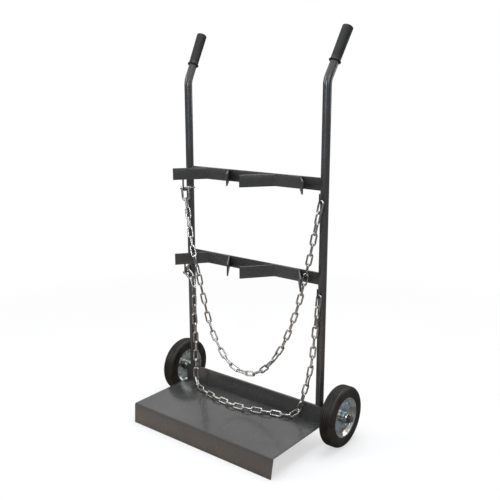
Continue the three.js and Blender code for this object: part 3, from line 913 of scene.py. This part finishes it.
on_deck = deck_top / mm + 10.85
add_chain("upper", 41, {"start": (0.2, 0, -2.25), "points": [
    (-267, -29, 714), (-234, -49, 612), (-217, -57, 574), (-205, -54, 530), (-184, -49, 430),
    (-141, -47, 298), (-68, -44, 202), (0, -42, 182), (60, -39, 200), (140, -36, 291),
    (204, -33, 442), (247, -31, 610), (274, -29, 745),
]}, -Z, [
    (0, 67), (0.125, 52), (0.2, -38), (0.4, -38), (0.5, 5), (0.55, 5), (0.625, -52),
    (0.925, -52), (1, 0),
])
add_chain("lower", 37, {"start": (1.8, -0.3, -1.2), "points": [
    (-247, -29, 452), (-243, -33, 360), (-233, -37, 245), (-230, -42, on_deck + 44),
    (-218, -50, on_deck + 3), (-186, -64, on_deck), (-121, -83, on_deck), (-62, -90, on_deck),
    (9, -94, on_deck), (78, -78, on_deck), (139, -57, on_deck), (190, -42, on_deck),
    (220, -34, on_deck + 21), (238, -29, 166), (262, -28, 264), (276, -28, 400),
]}, -Y, [
    (0, 90), (0.3, 150), (0.7, 150), (0.74, 128), (0.79, 155), (0.83, 128), (0.92, 128),
    (1, 180),
])


# Weld beads

def bead_profile(length, radius):
    """A rippled bead, tapering at both ends."""
    ripple_length = 2.2
    ripples = max(4, round(length / ripple_length))
    profile = [(-length / 2, 0)]
    for step in range(1, 2 * ripples):
        share = step / (2 * ripples)
        taper = min(1, 6 * share, 6 * (1 - share)) ** 0.5
        ripple = 1 if step % 2 else 0.86
        profile.append((length * (share - 0.5), radius * taper * ripple))
    return profile + [(length / 2, 0)]


def add_bead(name, place, direction, length, radius):
    bead = turned(bead_profile(length / mm, radius / mm), 12)
    turn = Vector(direction).to_track_quat("X", "Z").to_matrix().to_4x4()
    moved(bead, Matrix.Translation(Vector(place)) @ turn)
    return finished(smooth(bead, 60), name, grey_enamel, "frame")


def add_bar_beads(level, bottom, side_name, side):
    """The upright beads between a crossbar and a tube, in front and behind."""
    x = side * (tube_x - tube_radius)
    for where, way in (("front", -1), ("back", 1)):
        place = (x, tube_y + way * bar_thickness / 2, bottom + bar_height / 2)
        add_bead(f"{level}_{side_name}_{where}_bead", place, Z, bar_height - 2 * mm, bead_radius)


def add_hook_bead(level, bottom, side_name, side):
    """The ring of weld round a hook's root."""
    ring = turned([(-1.6, 2.6), (-1.6, 4.9), (-0.6, 5.2), (0.6, 4.5), (2, 3.4), (2.4, 2.6),
                   (-1.6, 2.6)], 20)
    outward = Matrix.Rotation(-math.pi / 2, 4, "Z")
    seat = Vector((side * hook_x, tube_y - tube_radius, bottom - hook_drops[side_name]))
    moved(ring, Matrix.Translation(seat) @ outward)
    finished(smooth(ring, 60), f"{level}_{side_name}_hook_bead", grey_enamel, "frame")


def add_foot_bead(side_name, side):
    """The bead across the foot of a tube, on the upstand's top edge."""
    place = (side * tube_x, tube_y - tube_radius - 0.8 * mm, upstand_top)
    add_bead(f"{side_name}_foot_bead", place, X, 17 * mm, 2 * mm)


for side_name, side in sides.items():
    for level, bottom in bar_bottoms.items():
        add_bar_beads(level, bottom, side_name, side)
        add_hook_bead(level, bottom, side_name, side)
    add_foot_bead(side_name, side)


# Floor, backdrop and light

def floor_whiteness(wiring, distance, seen, mirrored):
    """The floor's share of plain white: less near by, where the shadow lies, least in metal."""
    near = wiring.span(distance, 1, 0, 1.0, 2.2)
    shadowed = wiring.math("MULTIPLY", near, 0.42)
    darkened = wiring.math("ADD", wiring.math("MULTIPLY", near, 0.08), 0.88)
    bare = wiring.math("SUBTRACT", 1, shadowed)
    kept = wiring.math("SUBTRACT", 1, wiring.math("MULTIPLY", mirrored, darkened))
    return wiring.math("MULTIPLY", seen, wiring.math("MULTIPLY", bare, kept))


def floor_color(wiring, place, distance, straight, mirrored):
    """Pale to the eye, warm near by as bounced light, and in metal dull, but warm in front."""
    pale, dull, far_bounce = 0.9, 0.19, 0.24
    depth = wiring.add("ShaderNodeSeparateXYZ")
    wiring.link(place, depth.inputs["Vector"])
    close = wiring.span(distance, 1, 0, 0.35, 1.5)
    in_front = wiring.span(depth.outputs["Y"], 0.55, 0, -0.25, 0)
    forward = wiring.math("MULTIPLY", close, in_front)
    by_eye = wiring.math("MULTIPLY", straight, pale)
    spread = wiring.math("SUBTRACT", 1, wiring.math("ADD", mirrored, straight, clamp=True))
    color = wiring.add("ShaderNodeCombineColor")
    for channel, warm in (("Red", 0.95), ("Green", 0.75), ("Blue", 0.58)):
        rise = wiring.math("MULTIPLY", close, warm - far_bounce)
        bounce = wiring.math("ADD", rise, far_bounce)
        gleam = wiring.math("ADD", wiring.math("MULTIPLY", forward, warm), dull)
        soft = wiring.math("MULTIPLY", spread, bounce)
        in_metal = wiring.math("MULTIPLY", mirrored, gleam)
        level = wiring.math("ADD", wiring.math("ADD", soft, in_metal), by_eye)
        wiring.link(level, color.inputs[channel])
    return color.outputs["Color"]


def make_studio_white():
    """Catches the cart's shadow under a glow of plain white."""
    material = bpy.data.materials.new("studio_white")
    material.use_nodes = True
    wiring = Wiring(material.node_tree)
    seen, straight, mirrored = wiring.ray_kinds()
    place = wiring.add("ShaderNodeTexCoord").outputs["Object"]
    length = wiring.add("ShaderNodeVectorMath", operation="LENGTH")
    wiring.link(place, length.inputs[0])
    distance = length.outputs["Value"]

    shader = wiring.tree.nodes["Principled BSDF"]
    shader.inputs["Roughness"].default_value = 0.9
    shader.inputs["Specular IOR Level"].default_value = 0
    wiring.link(floor_color(wiring, place, distance, straight, mirrored),
                shader.inputs["Base Color"])
    white = wiring.add("ShaderNodeEmission")
    blend = wiring.add("ShaderNodeMixShader")
    wiring.link(floor_whiteness(wiring, distance, seen, mirrored), blend.inputs["Fac"])
    wiring.link(shader.outputs["BSDF"], blend.inputs[1])
    wiring.link(white.outputs["Emission"], blend.inputs[2])
    wiring.link(blend.outputs["Shader"], wiring.tree.nodes["Material Output"].inputs["Surface"])
    return material


def add_floor():
    bpy.ops.object.select_all(action="DESELECT")
    bpy.ops.mesh.primitive_plane_add(size=30, location=(0, 0, 0))
    floor = bpy.context.active_object
    floor.name = "studio_floor"
    floor.data.materials.append(make_studio_white())


def add_lamp(name, place, target, size, power, color=(1, 1, 1)):
    lamp = bpy.data.lights.new(name, "AREA")
    lamp.shape = "RECTANGLE"
    lamp.size, lamp.size_y = size
    lamp.energy = power
    lamp.color = color
    obj = bpy.data.objects.new(name, lamp)
    obj.location = place
    obj.rotation_euler = (Vector(target) - Vector(place)).to_track_quat("-Z", "Y").to_euler()
    scene.collection.objects.link(obj)


def add_world():
    """White where it is seen, dimmer as light, with a dark band low down in metal."""
    sky_strength, band_strength = 0.35, 0.14
    world = bpy.data.worlds.new("studio")
    scene.world = world
    world.use_nodes = True
    wiring = Wiring(world.node_tree)
    background = wiring.tree.nodes["Background"]
    seen, _, mirrored = wiring.ray_kinds()
    height = wiring.add("ShaderNodeSeparateXYZ")
    wiring.link(wiring.add("ShaderNodeTexCoord").outputs["Generated"], height.inputs["Vector"])
    band = wiring.span(height.outputs["Z"], 1 - band_strength, 0, 0.16, 0.5)
    white = wiring.math("SUBTRACT", 1, wiring.math("MULTIPLY", mirrored, band))
    dimmed = wiring.math("MULTIPLY", wiring.math("SUBTRACT", 1, seen), sky_strength)
    level = wiring.math("ADD", wiring.math("MULTIPLY", seen, white), dimmed)
    wiring.link(level, background.inputs["Strength"])
    background.inputs["Color"].default_value = (1, 1, 1, 1)


add_floor()
add_world()
add_lamp("window_left", (-2.6, -2.6, 2.6), target=(0, 0, 0.6), size=(1.6, 2.4), power=50)
add_lamp("window_right", (2.8, -1.6, 2.2), target=(0, 0, 0.6), size=(1.2, 2), power=20)
add_lamp("doorway", (0.34, -1.2, 0.95), target=(0.1, 0, 0.95), size=(0.16, 0.44), power=1.1,
         color=(0.6, 0.76, 1))
add_lamp("skylight", (0.34, -1.2, 1.4), target=(0.1, 0, 1.4), size=(0.15, 0.44), power=6,
         color=(0.62, 0.78, 1))
add_lamp("rear", (2.1, 2.7, 1.25), target=(0.2, 0.1, 0.3), size=(1.3, 0.8), power=9)
add_lamp("overhead", (0, 0.6, 3.6), target=(0, 0, 0.4), size=(2.4, 2.4), power=89)


# Camera, fitted to the photograph

def add_camera():
    camera = bpy.data.cameras.new("camera")
    camera.sensor_width = 36
    camera.lens = 49.43
    camera.shift_x = 0.0048
    camera.shift_y = -0.0003
    obj = bpy.data.objects.new("camera", camera)
    obj.location = (1.3928, tube_y - 1.7776, 1.1491)
    azimuth, pitch, roll = math.radians(38.49), math.radians(13.35), math.radians(-0.07)
    turn = Matrix.Rotation(azimuth, 4, "Z") @ Matrix.Rotation(math.pi / 2 - pitch, 4, "X")
    obj.rotation_euler = (turn @ Matrix.Rotation(roll, 4, "Z")).to_euler()
    scene.collection.objects.link(obj)
    scene.camera = obj


add_camera()
scene.view_settings.view_transform = "Standard"
